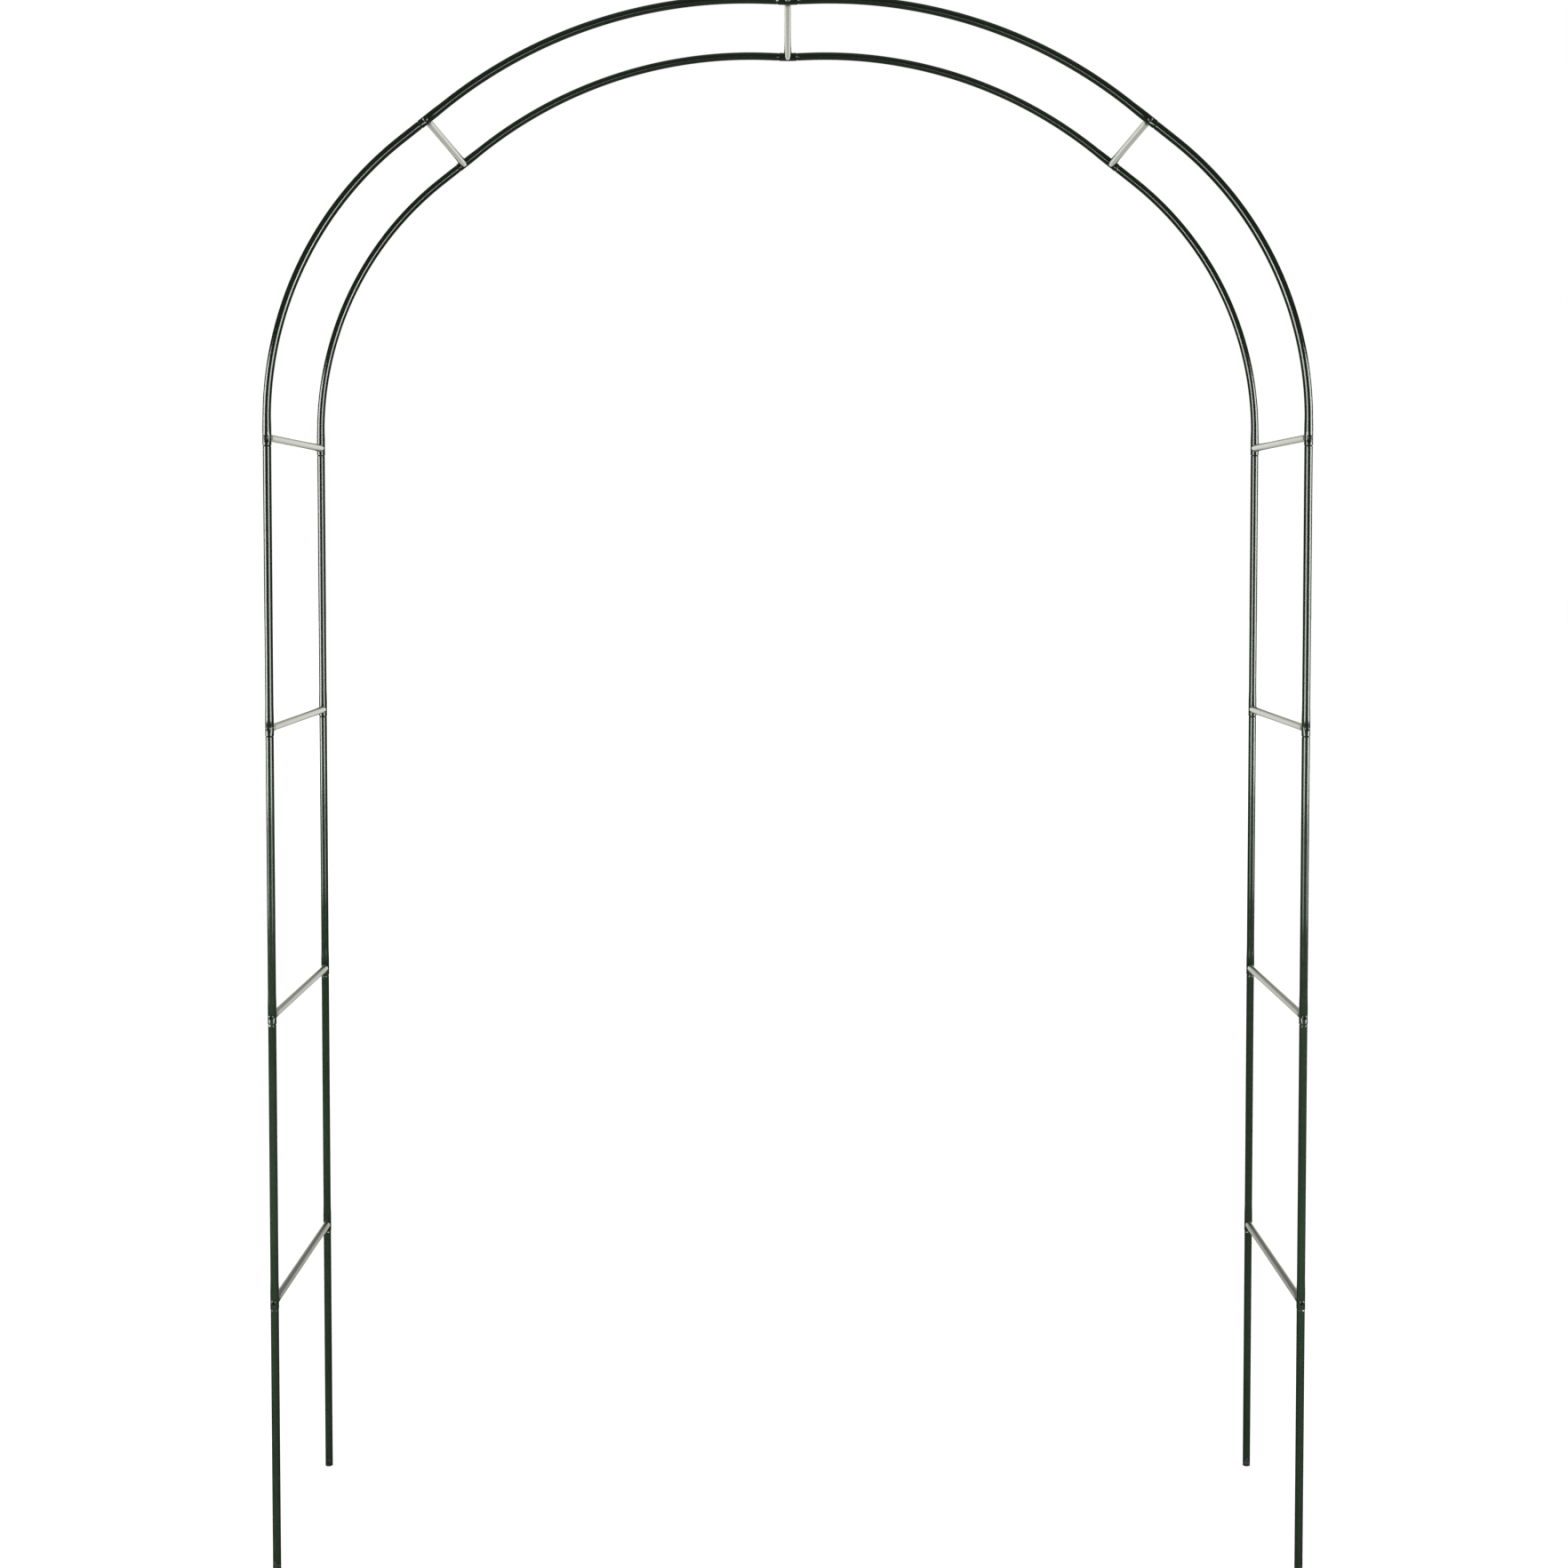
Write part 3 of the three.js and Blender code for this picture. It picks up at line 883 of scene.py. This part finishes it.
# What the glossy tubes mirror: a dim room, a white wall behind the arch, and a ceiling and a floor.
ROOM_GLOW, BACKDROP_GLOW, OVERHEAD_GLOW = 0.045, 2.05, 0.22
BACKDROP_TINT = (0.99, 1.0, 0.915)
# Along a mirrored direction of length 1: the Y over which the wall fades in, and the height
# over which the ceiling and the floor do.
WALL_FADE = (0.84, 0.955)
OVERHEAD_FADE = (0.60, 0.95)
# The Z over which the wall dims upwards and downwards, and the share of its glow left there.
WALL_TOP, WALL_TOP_SHARE = (0.13, 0.21), 0.52
WALL_FOOT, WALL_FOOT_SHARE = (-0.21, -0.08), 0.62
DOME_GLOW = 0.50  # of the soft light from all round

SOFTBOX_DISTANCE = 4.0
# The lowest and highest point of each part of a softbox, and its share of the full brightness.
SOFTBOX_PARTS = ((0.64, 2.55, 1.0), (0.28, 0.64, 0.37))
SOFTBOX_TINT = (0.94, 1.0, 0.92)
OUTER_WIDTH, INNER_WIDTH = 2.8, 2.4
OUTER_BRIGHTNESS, INNER_BRIGHTNESS = 54, 40  # watts for a square metre
OUTER_ANGLE, INNER_ANGLE = math.radians(61), math.radians(-45)

# Strips in front of each haunch, each one nearer to straight ahead and lower than the one before.
REFLECTOR_BRIGHTNESS = (32, 21, 4)  # watts for a square metre
REFLECTOR_SHARES = (("haunch", 1.0), ("crown", 0.6))  # of that, for each tube
REFLECTOR_DISTANCE = 3.5
REFLECTOR_WIDTH, REFLECTOR_HEIGHT = 1.8, 0.42
REFLECTOR_TURN, REFLECTOR_TURN_STEP = math.radians(29), math.radians(2.4)
REFLECTOR_DROP, REFLECTOR_DROP_STEP = math.radians(15), math.radians(5)

FILL_AT = Vector((0.95, -3.6, 0.55))
FILL_AIM = 0.52  # its height on a leg
FILL_CONE = math.radians(28)
FILL_RADIUS = 0.4
FILL_POWER = 540


def mirrored_glow(nodes):
    """How bright the studio is in the glossy tubes, by the direction in which they mirror it."""
    split = nodes.add("ShaderNodeSeparateXYZ")
    nodes.link(nodes.add("ShaderNodeTexCoord").outputs["Generated"], split.inputs["Vector"])
    y, z = split.outputs["Y"], split.outputs["Z"]
    wall = nodes.ranged(y, *WALL_FADE, ROOM_GLOW, BACKDROP_GLOW)
    top = nodes.ranged(z, *WALL_TOP, 1, WALL_TOP_SHARE)
    foot = nodes.ranged(z, *WALL_FOOT, WALL_FOOT_SHARE, 1)
    wall = nodes.math("MULTIPLY", nodes.math("MULTIPLY", wall, top), foot)
    overhead = nodes.ranged(nodes.math("ABSOLUTE", z), *OVERHEAD_FADE, 0, OVERHEAD_GLOW)
    return nodes.math("ADD", wall, overhead)


def background(nodes):
    """A plain white background, and its node."""
    node = nodes.add("ShaderNodeBackground")
    node.inputs["Color"].default_value = (1, 1, 1, 1)
    return node


def white_studio():
    """White to the camera, a soft dome to matt paint, and a wall in a dim room to glossy paint."""
    world = bpy.data.worlds.new("studio")
    bpy.context.scene.world = world
    world.use_nodes = True
    nodes = Nodes(world.node_tree)
    dome, in_gloss, in_camera = background(nodes), background(nodes), background(nodes)
    dome.inputs["Strength"].default_value = DOME_GLOW
    in_gloss.inputs["Color"].default_value = (*BACKDROP_TINT, 1)
    nodes.link(mirrored_glow(nodes), in_gloss.inputs["Strength"])

    ray = nodes.add("ShaderNodeLightPath")
    shown = dome.outputs["Background"]
    for is_ray, light in (("Is Glossy Ray", in_gloss), ("Is Camera Ray", in_camera)):
        mix = nodes.add("ShaderNodeMixShader")
        nodes.link(ray.outputs[is_ray], mix.inputs["Fac"])
        nodes.link(shown, mix.inputs[1])
        nodes.link(light.outputs["Background"], mix.inputs[2])
        shown = mix.outputs["Shader"]
    nodes.link(shown, nodes.add("ShaderNodeOutputWorld").inputs["Surface"])


def add_panel(name, width, height, brightness, at, away, lit):
    """A rectangular light at a place and a way off from it, which only the pieces in lit mirror."""
    data = bpy.data.lights.new(name, "AREA")
    data.shape = "RECTANGLE"
    data.size = width
    data.size_y = height
    data.energy = brightness * width * height
    panel = bpy.data.objects.new(name, data)
    bpy.context.scene.collection.objects.link(panel)
    panel.location = at + away
    panel.rotation_euler = (-away).to_track_quat("-Z", "Y").to_euler()
    panel.visible_camera = False
    panel.visible_diffuse = False
    panel.light_linking.receiver_collection = lit
    return data


def add_softbox(name, side, angle, width, brightness, lit):
    """A tall soft light that stands off one leg, turned by angle from straight ahead."""
    leg_x = middle("front_right_foot").x * side
    away = Vector((math.sin(angle) * side, -math.cos(angle), 0)) * SOFTBOX_DISTANCE
    for low, high, share in SOFTBOX_PARTS:
        at = Vector((leg_x, 0, (low + high) / 2))
        data = add_panel(name, width, high - low, brightness * share, at, away, lit)
        data.color = SOFTBOX_TINT


def add_reflectors(side_name, side):
    """Dim strips one below the other, whose image runs along the inside of each bent tube."""
    haunch = middle(f"front_{side_name}_haunch")
    at = Vector((haunch.x, 0, haunch.z))
    size = (REFLECTOR_WIDTH, REFLECTOR_HEIGHT)
    for tube, share in REFLECTOR_SHARES:
        lit = bpy.data.collections.new(f"{tube}s_{side_name}")
        for hoop in (FRONT, BACK):
            lit.objects.link(bpy.data.objects[f"{hoop}_{side_name}_{tube}_visual"])
        for i, brightness in enumerate(REFLECTOR_BRIGHTNESS):
            turn = REFLECTOR_TURN - REFLECTOR_TURN_STEP * i
            drop = REFLECTOR_DROP + REFLECTOR_DROP_STEP * i
            level = Vector((-math.sin(turn) * side, -math.cos(turn), 0)) * math.cos(drop)
            away = (level - Vector((0, 0, math.sin(drop)))) * REFLECTOR_DISTANCE
            add_panel("reflector", *size, brightness * share, at, away, lit)


def add_leg_fill(name, side, lit):
    """A soft round light low in front, like the light that a pale floor sends onto the legs."""
    data = bpy.data.lights.new(name, "SPOT")
    data.energy = FILL_POWER
    data.spot_size = FILL_CONE
    data.spot_blend = 1
    data.shadow_soft_size = FILL_RADIUS
    fill = bpy.data.objects.new(name, data)
    bpy.context.scene.collection.objects.link(fill)
    fill.location = (FILL_AT.x * side, FILL_AT.y, FILL_AT.z)
    aim = Vector((middle("front_right_foot").x * side, 0, FILL_AIM))
    fill.rotation_euler = (aim - fill.location).to_track_quat("-Z", "Y").to_euler()
    fill.visible_glossy = False
    fill.light_linking.receiver_collection = lit


def pieces_of_half(side_name, side):
    """A collection of the pieces on one side, and of those in the middle."""
    half = bpy.data.collections.new("half_" + side_name)
    for piece in bpy.context.scene.objects:
        if piece.type == "MESH" and "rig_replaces" in piece:
            if middle(piece["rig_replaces"][0]).x * side > -TUBE_RADIUS:
                half.objects.link(piece)
    return half


def add_lights():
    """Each half of the arch has its own set, so that both halves carry the same reflections."""
    for side_name, side in TURN.items():
        lit = pieces_of_half(side_name, side)
        outer, inner = "softbox_outer_" + side_name, "softbox_inner_" + side_name
        add_softbox(outer, side, OUTER_ANGLE, OUTER_WIDTH, OUTER_BRIGHTNESS, lit)
        add_softbox(inner, side, INNER_ANGLE, INNER_WIDTH, INNER_BRIGHTNESS, lit)
        add_leg_fill("leg_fill_" + side_name, side, lit)
        add_reflectors(side_name, side)


# ---- Camera ----

CAMERA_BACK = 3.347
CAMERA_HEIGHT = 1.496
CAMERA_PITCH = math.radians(2.2)
CAMERA_LENS = 50.72
CAMERA_SHIFT = (-0.0024, -0.10)


def add_camera():
    """Straight in front, looking down a little, with its lens shifted."""
    data = bpy.data.cameras.new("camera")
    camera = bpy.data.objects.new("camera", data)
    bpy.context.scene.collection.objects.link(camera)
    data.lens = CAMERA_LENS
    data.shift_x, data.shift_y = CAMERA_SHIFT
    camera.location = (0, -CAMERA_BACK, CAMERA_HEIGHT)
    camera.rotation_euler = (QUARTER_TURN - CAMERA_PITCH, 0, 0)
    bpy.context.scene.camera = camera


add_floor()
white_studio()
add_lights()
add_camera()
bpy.context.scene.view_settings.view_transform = "Standard"
